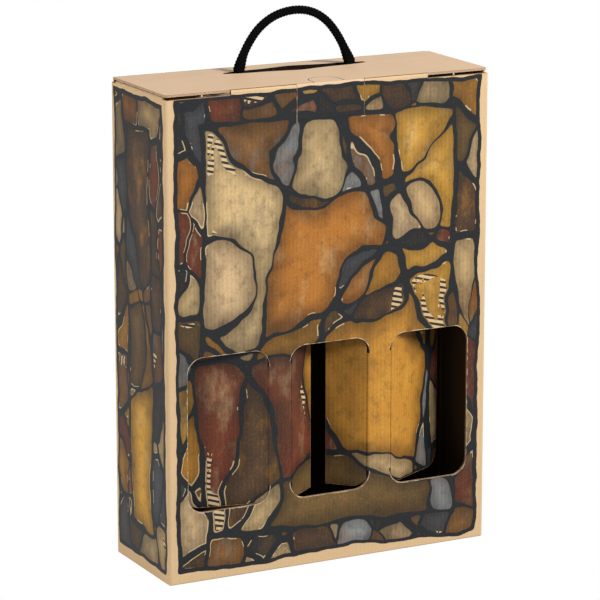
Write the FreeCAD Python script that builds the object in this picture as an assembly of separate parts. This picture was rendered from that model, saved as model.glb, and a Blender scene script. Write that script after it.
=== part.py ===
import FreeCAD, Part
import math
import os

from FreeCAD import Vector

# Upright fluted-board carton for three bottles, with a fold-over lid, a cord handle and cut windows.
# Millimetres. X to the right, the front faces -Y, Z up. The origin is the middle of the footprint.

# Board and folds
BOARD = 1.8
FOLD_PLAY = 0.15
LEAST_EDGE = 0.3
CORNER_RADIUS = 2.4
LAYER_GAP = 0.35
BOTTOM_EDGE_RADIUS = 1.08

# Carton, for a row of bottles
BOTTLES = 3
BOTTLE_BAY = 85.0
BAY_PLAY = 11.4
BOX_WIDTH = BOTTLES * BOTTLE_BAY + 2 * BOARD + BAY_PLAY
BOX_DEPTH = 95.0
BOX_HEIGHT = 370.0

# Windows in the front, one for each bottle
WINDOW_WIDTH = 68.0
WINDOW_HEIGHT = 119.0
WINDOW_SILL = 53.5
WINDOW_CORNER = 13.0
CUT_PLAY = 0.3
LEFT_FLAP_ANGLE = 12.0
MIDDLE_LEFT_FLAP_ANGLE = 37.0
MIDDLE_RIGHT_FLAP_ANGLE = 45.0
RIGHT_FLAP_ANGLE = 29.0

# Lid
LID_SIDE_MARGIN = 0.8
LID_SLIT_LENGTH = 53.0
LID_EDGE_SETBACK = 1.2
LID_CORNER = 3.0
NICK_FROM_SIDE = 30.0
NICK_WIDTH = 1.2
NICK_DEPTH = 0.8
NICK_DROP = 1.5
TUCK_LENGTH = 28.0
TUCK_LEAN = 12.0
TUCK_SIDE_MARGIN = 4.0
TUCK_CORNER = 14.0
BACK_EDGE_DROP = 0.6

# Slot for the handle, a little right of the lid's middle
SLOT_LENGTH = 120.0
SLOT_END_WIDTH = 4.0
SLOT_FROM_BACK = 27.0
HANDLE_OFFSET = 5.0

# How the slot's lips are sprung apart: how far along from its middle to its end, and half its width there
SLOT_LIP = [
    (0.0, 10.4),
    (0.1833333333, 8.8),
    (0.4, 6.6),
    (0.7, 5.4),
    (0.9, 3.6),
]

# Lock tongue
TONGUE_WIDTH = 56.0
TONGUE_HEIGHT = 28.5
NOSE_WIDTH = 24.0
NOSE_LENGTH = 20.0

# Dust flaps at the top of the sides
DUST_LENGTH = 58.0
DUST_FRONT_MARGIN = 3.0
DUST_BACK_MARGIN = 6.6
DUST_TAPER = 6.0
DUST_CORNER = 8.0

# Interlocking bottom
FRONT_FLAP_LENGTH = 56.0
FRONT_FLAP_TAPER = 14.0
FRONT_TONGUE_WIDTH = 118.0
FRONT_TONGUE_LENGTH = 14.0
SIDE_FLAP_LENGTH = 82.0
SIDE_FLAP_TAPER = 26.0
BACK_FLAP_LENGTH = 62.0
BACK_FLAP_TAPER = 18.0
BACK_NOTCH_WIDTH = 104.0
BACK_NOTCH_DEPTH = 24.0
FLAP_SIDE_PLAY = 1.0

# Glued seam
SEAM_WIDTH = 30.0
SEAM_END_MARGIN = 9.0
SEAM_SLANT = 8.0

# Cord handle and the two bars that hold its ends under the lid
CORD_DIAMETER = 6.0
BAR_LENGTH = 24.0
BAR_WIDTH = 7.0
BAR_HEIGHT = 4.0
BAR_CHAMFER = 1.4

# Route of the cord: along the slot from its middle, and up from the underside of the lid
CORD_ROUTE = [
    (-48.0, 0.0),
    (-45.2, 11.0),
    (-39.5, 22.6),
    (-30.6, 34.2),
    (-18.0, 42.6),
    (-2.2, 46.3),
    (13.6, 44.6),
    (26.6, 37.0),
    (36.0, 25.6),
    (43.2, 12.6),
    (48.4, 0.0),
]

# Planes and places worked out from the sizes above
FRONT_FACE = -BOX_DEPTH / 2
FRONT_INSIDE = FRONT_FACE + BOARD
BACK_FACE = BOX_DEPTH / 2
BACK_INSIDE = BACK_FACE - BOARD
SIDE_FACE = BOX_WIDTH / 2
SIDE_INSIDE = SIDE_FACE - BOARD
LID_UNDERSIDE = BOX_HEIGHT - BOARD
DUST_TOP = LID_UNDERSIDE - LAYER_GAP
WALL_TOP = DUST_TOP - BOARD
LID_BACK = BACK_INSIDE - CUT_PLAY
HINGE_HALF = BOX_WIDTH / 2 - LID_SLIT_LENGTH
TONGUE_BASE = BOX_HEIGHT - TONGUE_HEIGHT
SLOT_MIDDLE = BACK_FACE - SLOT_FROM_BACK
KNUCKLE_CLEAR = BOARD + FOLD_PLAY
KNUCKLE_START = math.sqrt(KNUCKLE_CLEAR ** 2 - (BOARD - LEAST_EDGE) ** 2)
TOUCHING = 0.01
ALIGNED = 1e-6
ALONG_X = Vector(1, 0, 0)
ALONG_Y = Vector(0, 1, 0)
ALONG_Z = Vector(0, 0, 1)


def block(x, y, z):
    """A block between two values on each axis."""
    size = [pair[1] - pair[0] for pair in (x, y, z)]
    return Part.makeBox(size[0], size[1], size[2], Vector(x[0], y[0], z[0]))


def plate(corners, low, high):
    """A flat sheet with straight edges, from its corners seen from above and its two levels."""
    points = [Vector(x, y, low) for x, y in corners]
    return Part.Face(Part.makePolygon(points + points[:1])).extrude(Vector(0, 0, high - low))


def rounded(shape, radius, edges):
    """The shape with the edges that a test picks rounded."""
    return shape.makeFillet(radius, [edge for edge in shape.Edges if edges(edge)])


def runs_along(direction):
    """A test for straight edges along a direction."""
    def test(edge):
        ends = [vertex.Point for vertex in edge.Vertexes]
        if len(ends) < 2:
            return False
        return (ends[1] - ends[0]).normalize().cross(direction).Length < ALIGNED
    return test


def fused(pieces):
    """One solid from pieces that meet."""
    shape = pieces[0].multiFuse(pieces[1:]).removeSplitter()
    return shape.Solids[0] if len(shape.Solids) == 1 else shape


def window_cut(middle):
    """A rounded window, cut right through the front."""
    x = (middle - WINDOW_WIDTH / 2, middle + WINDOW_WIDTH / 2)
    z = (WINDOW_SILL, WINDOW_SILL + WINDOW_HEIGHT)
    return rounded(block(x, (FRONT_FACE - BOARD, FRONT_INSIDE + BOARD), z), WINDOW_CORNER, runs_along(ALONG_Y))


def window_flap(middle, hinge_side, share):
    """A window's cut-out, flush with the front: the whole of it, or the half beside its hinge."""
    half = WINDOW_WIDTH / 2
    x = (middle - half + CUT_PLAY, middle + half - CUT_PLAY)
    z = (WINDOW_SILL + CUT_PLAY, WINDOW_SILL + WINDOW_HEIGHT - CUT_PLAY)
    sheet = rounded(block(x, (FRONT_FACE, FRONT_INSIDE), z), WINDOW_CORNER, runs_along(ALONG_Y))
    hinge_x = middle + hinge_side * half
    near = hinge_x - hinge_side * KNUCKLE_START
    far = hinge_x - hinge_side * (WINDOW_WIDTH * share - CUT_PLAY)
    keep = block((min(near, far), max(near, far)), (FRONT_FACE, FRONT_INSIDE), z)
    knuckle = Part.makeCylinder(KNUCKLE_CLEAR, BOX_HEIGHT, Vector(hinge_x, FRONT_INSIDE, 0), ALONG_Z)
    return sheet.common(keep).cut(knuckle)


def turned_flap(middle, hinge_side, share, angle):
    """A window flap pushed into the carton about its hinge."""
    flap = window_flap(middle, hinge_side, share)
    flap.rotate(Vector(middle + hinge_side * WINDOW_WIDTH / 2, FRONT_INSIDE, 0), ALONG_Z, -hinge_side * angle)
    return flap


def window_knuckle(middle, hinge_side):
    """The round outside of a window flap's fold, on the post that carries the flap."""
    hinge_x = middle + hinge_side * WINDOW_WIDTH / 2
    low = WINDOW_SILL + WINDOW_CORNER
    length = WINDOW_HEIGHT - 2 * WINDOW_CORNER
    rod = Part.makeCylinder(BOARD, length, Vector(hinge_x, FRONT_INSIDE, low), ALONG_Z)
    x = (min(hinge_x, hinge_x - hinge_side * BOARD), max(hinge_x, hinge_x - hinge_side * BOARD))
    return rod.common(block(x, (FRONT_FACE, FRONT_INSIDE), (low, low + length)))


def sleeve():
    """The four walls, folded at the upright corners."""
    outside = block((-SIDE_FACE, SIDE_FACE), (FRONT_FACE, BACK_FACE), (0, WALL_TOP))
    outside = rounded(outside, CORNER_RADIUS, runs_along(ALONG_Z))
    inside = block((-SIDE_INSIDE, SIDE_INSIDE), (FRONT_INSIDE, BACK_INSIDE), (-BOARD, BOX_HEIGHT))
    inside = rounded(inside, CORNER_RADIUS - BOARD, runs_along(ALONG_Z))
    return rounded(outside.cut(inside), BOTTOM_EDGE_RADIUS, lies_at_bottom_outside)


def lies_at_bottom_outside(edge):
    """A test for the outer edges of the footprint."""
    box = edge.BoundBox
    reaches_side = max(abs(box.XMin), abs(box.XMax)) > SIDE_FACE - BOARD / 2
    reaches_front = max(abs(box.YMin), abs(box.YMax)) > BACK_FACE - BOARD / 2
    return box.ZMax < TOUCHING and (reaches_side or reaches_front)


def lid_fold(side):
    """One of the two stretches where the front runs on into the lid, up to the line it turns on."""
    inner = TONGUE_WIDTH / 2 + CUT_PLAY
    x = (min(side * inner, side * HINGE_HALF), max(side * inner, side * HINGE_HALF))
    web = block(x, (FRONT_FACE, FRONT_INSIDE), (WALL_TOP - BOARD, LID_UNDERSIDE))
    rod = Part.makeCylinder(BOARD, x[1] - x[0], Vector(x[0], FRONT_INSIDE, LID_UNDERSIDE), ALONG_X)
    top = rod.common(block(x, (FRONT_FACE, FRONT_INSIDE + BOARD), (LID_UNDERSIDE, BOX_HEIGHT)))
    return [web, top]


def tongue_knuckle():
    """The round back of the fold at the foot of the lock tongue."""
    half = TONGUE_WIDTH / 2
    rod = Part.makeCylinder(BOARD, TONGUE_WIDTH, Vector(-half, FRONT_FACE, TONGUE_BASE), ALONG_X)
    return rod.common(block((-half, half), (FRONT_FACE, FRONT_INSIDE), (TONGUE_BASE, TONGUE_BASE + BOARD)))


def dust_flap(side):
    """A side's top flap, folded in under the lid."""
    fold = side * SIDE_INSIDE
    tip = side * (SIDE_INSIDE - DUST_LENGTH)
    front = FRONT_INSIDE + DUST_FRONT_MARGIN
    back = BACK_INSIDE - DUST_BACK_MARGIN
    sheet = plate([(fold, front), (tip, front + DUST_TAPER), (tip, back), (fold, back)], WALL_TOP, DUST_TOP)
    sheet = rounded(sheet, DUST_CORNER, lambda edge: runs_along(ALONG_Z)(edge)
                    and abs(edge.Vertexes[0].X - tip) < TOUCHING)
    length = back - front
    rod = Part.makeCylinder(BOARD, length, Vector(fold, front, WALL_TOP), ALONG_Y)
    x = (min(fold, side * SIDE_FACE), max(fold, side * SIDE_FACE))
    return [sheet, rod.common(block(x, (front, back), (WALL_TOP, DUST_TOP)))]


def bottom_flaps():
    """The interlocking bottom: the front flap outside, then the side flaps, then the back flap."""
    wide = SIDE_INSIDE - FLAP_SIDE_PLAY
    front_end = FRONT_INSIDE + FRONT_FLAP_LENGTH
    narrow = wide - FRONT_FLAP_TAPER
    half = FRONT_TONGUE_WIDTH / 2
    tongue_end = front_end + FRONT_TONGUE_LENGTH
    front = plate([(-wide, FRONT_INSIDE), (-narrow, front_end), (-half, front_end), (-half, tongue_end),
                   (half, tongue_end), (half, front_end), (narrow, front_end), (wide, FRONT_INSIDE)],
                  0, BOARD)
    flaps = [front]
    for side in (-1, 1):
        tip = side * (SIDE_INSIDE - SIDE_FLAP_LENGTH)
        root = side * SIDE_INSIDE
        flaps.append(plate([(root, FRONT_INSIDE + FLAP_SIDE_PLAY), (tip, FRONT_INSIDE + SIDE_FLAP_TAPER),
                            (tip, BACK_INSIDE - SIDE_FLAP_TAPER / 2), (root, BACK_INSIDE - FLAP_SIDE_PLAY)],
                           BOARD, 2 * BOARD))
    back_end = BACK_INSIDE - BACK_FLAP_LENGTH
    slim = wide - BACK_FLAP_TAPER
    notch = BACK_NOTCH_WIDTH / 2
    notch_end = back_end + BACK_NOTCH_DEPTH
    flaps.append(plate([(-wide, BACK_INSIDE), (-slim, back_end), (-notch, back_end), (-notch, notch_end),
                        (notch, notch_end), (notch, back_end), (slim, back_end), (wide, BACK_INSIDE)],
                       2 * BOARD, 3 * BOARD))
    return flaps


def glue_seam():
    """The strip of the back panel that is glued inside the right side."""
    low = SEAM_END_MARGIN
    high = WALL_TOP - SEAM_END_MARGIN
    free = BACK_INSIDE - SEAM_WIDTH
    outline = [(BACK_INSIDE, low), (free, low + SEAM_SLANT), (free, high - SEAM_SLANT), (BACK_INSIDE, high)]
    points = [Vector(SIDE_INSIDE - BOARD, y, z) for y, z in outline]
    return Part.Face(Part.makePolygon(points + points[:1])).extrude(Vector(BOARD, 0, 0))


def carton_body():
    """Walls, bottom, dust flaps and seam: one blank, folded and glued."""
    edge_top = BOX_HEIGHT - BACK_EDGE_DROP
    pieces = [sleeve(), glue_seam()] + bottom_flaps()
    pieces.append(block((-SIDE_INSIDE, SIDE_INSIDE), (BACK_INSIDE, BACK_FACE), (WALL_TOP - BOARD, edge_top)))
    for side in (-1, 1):
        pieces += lid_fold(side) + dust_flap(side)
    body = pieces[0].multiFuse(pieces[1:])
    cuts = [window_cut(bay * BOTTLE_BAY) for bay in (-1, 0, 1)]
    half = TONGUE_WIDTH / 2 + CUT_PLAY
    cuts.append(block((-half, half), (FRONT_FACE - BOARD, FRONT_INSIDE + BOARD), (TONGUE_BASE, BOX_HEIGHT)))
    for cut in cuts:
        body = body.cut(cut)
    knuckles = [window_knuckle(-BOTTLE_BAY, 1), window_knuckle(0, -1), window_knuckle(0, 1),
                window_knuckle(BOTTLE_BAY, -1), tongue_knuckle()]
    return fused([body] + knuckles)


def nose_outline(half, length, front):
    """The round nose of the tongue, or the cut it lies in, as a face at the lid's underside."""
    straight = length - half
    left = Vector(-half, front, LID_UNDERSIDE)
    left_end = Vector(-half, FRONT_INSIDE + straight, LID_UNDERSIDE)
    tip = Vector(0, FRONT_INSIDE + length, LID_UNDERSIDE)
    right_end = Vector(half, FRONT_INSIDE + straight, LID_UNDERSIDE)
    right = Vector(half, front, LID_UNDERSIDE)
    edges = [Part.LineSegment(left, left_end).toShape(), Part.Arc(left_end, tip, right_end).toShape(),
             Part.LineSegment(right_end, right).toShape(), Part.LineSegment(right, left).toShape()]
    return Part.Face(Part.Wire(edges))


def slot():
    """The long slot for the handle: its lips are sprung apart in the middle."""
    half_length = SLOT_LENGTH / 2
    right = [(half_length * along, half_width) for along, half_width in SLOT_LIP]
    right.append((half_length, SLOT_END_WIDTH / 2))
    lip = [(-x, half_width) for x, half_width in reversed(right[1:])] + right
    low = LID_UNDERSIDE - BOARD
    near = [Vector(HANDLE_OFFSET + x, SLOT_MIDDLE - half_width, low) for x, half_width in lip]
    far = [Vector(HANDLE_OFFSET + x, SLOT_MIDDLE + half_width, low) for x, half_width in reversed(lip)]
    edges = [smooth_edge(near), Part.LineSegment(near[-1], far[0]).toShape(),
             smooth_edge(far), Part.LineSegment(far[-1], near[0]).toShape()]
    return Part.Face(Part.Wire(edges)).extrude(Vector(0, 0, 3 * BOARD))


def smooth_edge(points):
    """A smooth edge through the points."""
    curve = Part.BSplineCurve()
    curve.interpolate(points)
    return curve.toShape()


def tuck_flap():
    """The lid's back edge, folded down inside the back panel and leaning in."""
    half = SIDE_INSIDE - TUCK_SIDE_MARGIN
    fold = (LID_BACK - BOARD, LID_UNDERSIDE)
    y = (fold[0], fold[0] + BOARD)
    flap = block((-half, half), y, (LID_UNDERSIDE - TUCK_LENGTH, LID_UNDERSIDE))
    flap = rounded(flap, TUCK_CORNER, lambda edge: runs_along(ALONG_Y)(edge)
                   and edge.BoundBox.ZMax < LID_UNDERSIDE - 1)
    hinge = Vector(0, fold[0], LID_UNDERSIDE)
    flap.rotate(hinge, ALONG_X, -TUCK_LEAN)
    bend = Part.makeCylinder(BOARD, 2 * half, Vector(-half, fold[0], LID_UNDERSIDE), ALONG_X)
    lower_quarter = block((-half, half), (fold[0], fold[0] + BOARD), (LID_UNDERSIDE - BOARD, BOX_HEIGHT))
    return [flap, bend.common(lower_quarter)]


def nick(side):
    """What is left of the uncut bridge in the middle of a slit: a tooth under the lid's edge."""
    middle = side * (SIDE_FACE - NICK_FROM_SIDE)
    front = FRONT_FACE + LID_EDGE_SETBACK
    return block((middle - NICK_WIDTH / 2, middle + NICK_WIDTH / 2), (front, front + NICK_DEPTH),
                 (LID_UNDERSIDE - NICK_DROP, LID_UNDERSIDE))


def lid():
    """The top panel, with its slot, the cut for the tongue's nose and the tuck flap."""
    half = SIDE_FACE - LID_SIDE_MARGIN
    front = FRONT_FACE + LID_EDGE_SETBACK
    back = LID_BACK - BOARD
    panel = block((-half, half), (front, back), (LID_UNDERSIDE, BOX_HEIGHT))
    panel = rounded(panel, LID_CORNER, lambda edge: runs_along(ALONG_Z)(edge) and edge.BoundBox.YMax < 0)
    shape = panel.multiFuse(tuck_flap() + [nick(-1), nick(1)])
    inner = HINGE_HALF + CUT_PLAY
    step = block((-inner, inner), (FRONT_FACE - BOARD, FRONT_INSIDE + KNUCKLE_START),
                 (LID_UNDERSIDE - BOARD, BOX_HEIGHT + BOARD))
    knuckle = Part.makeCylinder(KNUCKLE_CLEAR, 2 * inner, Vector(-inner, FRONT_INSIDE, LID_UNDERSIDE), ALONG_X)
    nose_cut = nose_outline(NOSE_WIDTH / 2 + CUT_PLAY, NOSE_LENGTH + CUT_PLAY, FRONT_FACE - BOARD)
    for cut in (step, knuckle, slot(), nose_cut.extrude(Vector(0, 0, BOARD))):
        shape = shape.cut(cut)
    return shape.removeSplitter().Solids[0]


def lock_tongue():
    """The tongue in the front's top edge, whose nose is bent back into the lid."""
    half = TONGUE_WIDTH / 2
    stem = block((-half, half), (FRONT_FACE, FRONT_INSIDE), (TONGUE_BASE + KNUCKLE_START, LID_UNDERSIDE))
    foot = Part.makeCylinder(KNUCKLE_CLEAR, TONGUE_WIDTH, Vector(-half, FRONT_FACE, TONGUE_BASE), ALONG_X)
    rod = Part.makeCylinder(BOARD, TONGUE_WIDTH, Vector(-half, FRONT_INSIDE, LID_UNDERSIDE), ALONG_X)
    bend = rod.common(block((-half, half), (FRONT_FACE, FRONT_INSIDE), (LID_UNDERSIDE, BOX_HEIGHT)))
    nose = nose_outline(NOSE_WIDTH / 2, NOSE_LENGTH, FRONT_INSIDE).extrude(Vector(0, 0, BOARD))
    return fused([stem.cut(foot), bend, nose])


def cord_points():
    """The route's points, above the slot and up from the lid's underside."""
    return [Vector(HANDLE_OFFSET + x, SLOT_MIDDLE, LID_UNDERSIDE + up) for x, up in CORD_ROUTE]


def handle_cord():
    """The cord: straight runs joined by arcs as large as the runs allow."""
    points = cord_points()
    edges = []
    radii = []
    start = points[0]
    for before, corner, after in zip(points, points[1:], points[2:]):
        back = (before - corner).normalize()
        ahead = (after - corner).normalize()
        turn = math.pi - back.getAngle(ahead)
        reach = 0.45 * min((before - corner).Length, (after - corner).Length)
        radius = reach / math.tan(turn / 2)
        first = corner + back * reach
        last = corner + ahead * reach
        middle = corner + (back + ahead).normalize() * (radius / math.cos(turn / 2) - radius)
        edges.append(Part.LineSegment(start, first).toShape())
        edges.append(Part.Arc(first, middle, last).toShape())
        radii.append(radius)
        start = last
    edges.append(Part.LineSegment(start, points[-1]).toShape())
    path = Part.Wire(edges)
    direction = (points[1] - points[0]).normalize()
    section = Part.Wire(Part.Circle(points[0], direction, CORD_DIAMETER / 2).toShape())
    tube = path.makePipeShell([section], True, False)
    expected = math.pi * CORD_DIAMETER ** 2 / 4 * path.Length
    print("cord length", round(path.Length, 1), "volume share", round(tube.Volume / expected, 4))
    print("cord radii", [round(radius, 1) for radius in radii])
    return level_ends(tube)


def level_ends(tube):
    """The cord's ends, run on a little and cut level where they meet the bars."""
    points = cord_points()
    pieces = [tube]
    for end, inner in ((points[0], points[1]), (points[-1], points[-2])):
        outward = (end - inner).normalize()
        pieces.append(Part.makeCylinder(CORD_DIAMETER / 2, CORD_DIAMETER, end, outward))
    below = block((-BOX_WIDTH, BOX_WIDTH), (FRONT_FACE, BACK_FACE), (0, LID_UNDERSIDE))
    return fused(pieces).cut(below).Solids[0]


def cord_bar(route_end):
    """The moulded bar on an end of the cord, which lies across under the slot."""
    x = route_end.x
    bar = block((x - BAR_WIDTH / 2, x + BAR_WIDTH / 2),
                (SLOT_MIDDLE - BAR_LENGTH / 2, SLOT_MIDDLE + BAR_LENGTH / 2),
                (LID_UNDERSIDE - BAR_HEIGHT, LID_UNDERSIDE))
    lower = [edge for edge in bar.Edges if edge.BoundBox.ZMin < LID_UNDERSIDE - TOUCHING]
    return bar.makeChamfer(BAR_CHAMFER, lower)


os.makedirs("parts", exist_ok=True)
shapes = {
    "carton_body": carton_body(),
    "lid": lid(),
    "lock_tongue": lock_tongue(),
    "window_flap_left": turned_flap(-BOTTLE_BAY, 1, 1.0, LEFT_FLAP_ANGLE),
    "window_flap_middle_left": turned_flap(0, -1, 0.5, MIDDLE_LEFT_FLAP_ANGLE),
    "window_flap_middle_right": turned_flap(0, 1, 0.5, MIDDLE_RIGHT_FLAP_ANGLE),
    "window_flap_right": turned_flap(BOTTLE_BAY, -1, 1.0, RIGHT_FLAP_ANGLE),
    "handle_cord": handle_cord(),
    "cord_bar_left": cord_bar(cord_points()[0]),
    "cord_bar_right": cord_bar(cord_points()[-1]),
}
for name, shape in shapes.items():
    shape.exportStep("parts/" + name + ".step")
    box = shape.BoundBox
    print(name, len(shape.Solids), shape.isValid(), round(shape.Volume, 1), [round(value, 2) for value in
          (box.XMin, box.XMax, box.YMin, box.YMax, box.ZMin, box.ZMax)])
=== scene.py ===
import math

import bpy
from mathutils import Matrix, Vector


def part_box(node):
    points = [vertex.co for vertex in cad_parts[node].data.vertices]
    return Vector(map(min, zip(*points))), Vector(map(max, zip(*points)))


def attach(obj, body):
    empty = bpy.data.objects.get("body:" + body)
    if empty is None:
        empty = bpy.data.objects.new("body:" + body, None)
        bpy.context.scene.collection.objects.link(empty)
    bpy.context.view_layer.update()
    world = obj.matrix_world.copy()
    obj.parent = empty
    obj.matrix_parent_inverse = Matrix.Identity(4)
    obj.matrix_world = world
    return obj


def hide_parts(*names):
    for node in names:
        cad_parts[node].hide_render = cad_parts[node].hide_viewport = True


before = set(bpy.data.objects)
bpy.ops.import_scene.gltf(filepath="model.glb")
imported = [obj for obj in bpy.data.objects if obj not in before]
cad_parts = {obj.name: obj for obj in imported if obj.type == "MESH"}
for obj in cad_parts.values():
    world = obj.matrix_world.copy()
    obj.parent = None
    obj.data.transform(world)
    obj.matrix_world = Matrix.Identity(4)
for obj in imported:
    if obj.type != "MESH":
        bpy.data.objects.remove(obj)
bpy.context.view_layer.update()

# Carton body
# One blank of fluted kraft board, folded round the bottles and glued along a back corner. The front and the
# sides are printed before the folds are made, and the back, the lid and the inside stay bare.
BOARD = 0.0018
FLUTE_PITCH = 0.0034
body_low, body_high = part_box("carton_body")
SIDE_FACE = body_high.x
FRONT_FACE = body_low.y
BACK_FACE = body_high.y
TOP = body_high.z
FRONT_INSIDE = FRONT_FACE + BOARD
BACK_INSIDE = BACK_FACE - BOARD
SIDE_INSIDE = SIDE_FACE - BOARD
LID_UNDERSIDE = TOP - BOARD
TINY = 0.0001

# Windows, one for each bottle, and the upright lines that their flaps fold on
BOTTLE_BAY = 0.085
WINDOW_WIDTH = 0.068
WINDOW_CORNER = 0.013
WINDOW_LOW = 0.0535
WINDOW_HIGH = 0.1725
CUT_PLAY = 0.0003
WINDOW_SIDES = ((-0.119, -0.051), (-0.034, 0.034), (0.051, 0.119))
HINGES = (-0.051, -0.034, 0.034, 0.051)
TONGUE_HALF = 0.028
TONGUE_FOOT = 0.3415

# Print: where it ends, how thick its contours are, and how large its patches are
WARP = 0.024
WARP_SCALE = 25.0
SIDE_BORDER = 0.0066
SIDE_SWAY = 0.008
PRINT_FROM_FOLD = 0.0042
SIDE_TOP_BORDER = 0.0046
BOTTOM_BORDER = 0.0078
BOTTOM_SWAY = 0.020
BOTTOM_MERGE = 0.005
TOP_BORDER = 0.0027
TOP_SWAY = 0.011
EDGE_JITTER = 0.0024
EDGE_MERGE = 0.003
RIM_LINE = 0.0032
RIM_SWAY = 0.004
POOL_REACH = 0.019
CONTOUR_THIN = 0.0005
CONTOUR_SWELL = 0.0027
CONTOUR_MERGE = 0.004
CONTOUR_EDGE = 0.00028
PRINT_EDGE = 0.00018
BAND_WIDTH = 0.023
BAND_SWAY = 0.026
BAND_CELL = 0.031
BAND_MERGE = 0.006
HATCH_PITCH = 0.0042
HATCH_NEAR = 0.0012
HATCH_FAR = 0.0065
HALO_WIDTH = 0.0008
PATCH_SEED = 5.3

# The curves that part the print's large patches: circles, each by its middle and radius, and straight
# lines, each by a point and a tilt in degrees
DISCS = (
    (-0.052, 0.262, 0.098),
    (0.088, 0.150, 0.100),
    (-0.168, 0.082, 0.126),
    (0.150, 0.318, 0.098),
    (0.006, 0.402, 0.118),
    (0.018, -0.046, 0.128),
    (-0.214, 0.300, 0.086),
    (-0.236, 0.178, 0.064),
    (0.210, 0.060, 0.090),
    (-0.014, 0.312, 0.034),
    (0.070, 0.262, 0.026),
    (-0.098, 0.226, 0.036),
    (0.034, 0.214, 0.030),
)
RULES = (
    (-0.066, 0.150, 78.0),
    (0.052, 0.240, -64.0),
    (0.000, 0.196, 17.0),
    (-0.186, 0.240, -70.0),
    (0.096, 0.120, 84.0),
)


def linear(red, green, blue):
    """A colour given as it looks on a screen, 0 to 255, as the renderer's own linear value."""
    return tuple((value / 255) ** 2.2 for value in (red, green, blue)) + (1.0,)


KRAFT = linear(221, 187, 143)
LID_KRAFT = linear(225, 191, 156)
KRAFT_FLECK = linear(176, 138, 98)
# Painted shade for the inner faces: deep inside the box, light near its mouth and under the lid
INSIDE_PAINTED_SHADE = linear(90, 80, 70)
MOUTH_PAINTED_SHADE = linear(214, 205, 196)
TORN_DARK = linear(160, 128, 94)
TORN_PALE = linear(206, 176, 138)
# Painted shade for the board's cut faces
CUT_PAINTED_SHADE = linear(64, 44, 28)
# Near-black painted shade in the handle's slot
SLOT_PAINTED_SHADE = linear(16, 12, 9)
CONTOUR_INK = linear(27, 30, 33)
WORN_CONTOUR = linear(86, 80, 72)
CREAM_INK = linear(226, 196, 150)
SHADOW_INK = linear(60, 44, 32)
# Pale painted highlight beside the cut lines
PAINTED_EDGE_HIGHLIGHT = linear(240, 220, 190)
PATCH_INKS = (
    linear(214, 158, 62),
    linear(216, 182, 136),
    linear(176, 112, 46),
    linear(110, 86, 50),
    linear(212, 180, 128),
    linear(86, 64, 46),
    linear(212, 176, 124),
    linear(140, 96, 50),
    linear(78, 80, 84),
    linear(196, 136, 52),
    linear(124, 62, 40),
    linear(158, 160, 158),
    linear(46, 46, 48),
)


class Value:
    """What a node gives, most often a number: each operator adds a Math node to the same tree."""

    def __init__(self, owner, socket):
        self.owner = owner
        self.socket = socket

    def math(self, operation, *others):
        sockets = dict(enumerate((self,) + others))
        return self.owner.node("ShaderNodeMath", {"operation": operation}, sockets)

    def __add__(self, other):
        return self.math("ADD", other)

    def __sub__(self, other):
        return self.math("SUBTRACT", other)

    def __rsub__(self, other):
        return self.math("MULTIPLY_ADD", -1.0, other)

    def __mul__(self, other):
        return self.math("MULTIPLY", other)

    def __truediv__(self, other):
        return self.math("DIVIDE", other)

    def __abs__(self):
        return self.math("ABSOLUTE")

    __radd__ = __add__
    __rmul__ = __mul__

    def over(self, other):
        """1 where this is more than the other, else 0."""
        return self.math("GREATER_THAN", other)

    def under(self, other):
        return self.math("LESS_THAN", other)

    def least(self, other):
        return self.math("MINIMUM", other)

    def most(self, other):
        return self.math("MAXIMUM", other)

    def soft_least(self, other, reach):
        return self.math("SMOOTH_MIN", other, reach)

    def sine(self):
        return self.math("SINE")

    def eased(self, low, high):
        """0 below low and 1 above high, with a soft step between."""
        settings = {"interpolation_type": "SMOOTHSTEP"}
        sockets = {"Value": self, "From Min": low, "From Max": high}
        return self.owner.node("ShaderNodeMapRange", settings, sockets)

    def between(self, off, on):
        """off where this is 0 and on where it is 1."""
        return self * (on - off) + off


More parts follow.
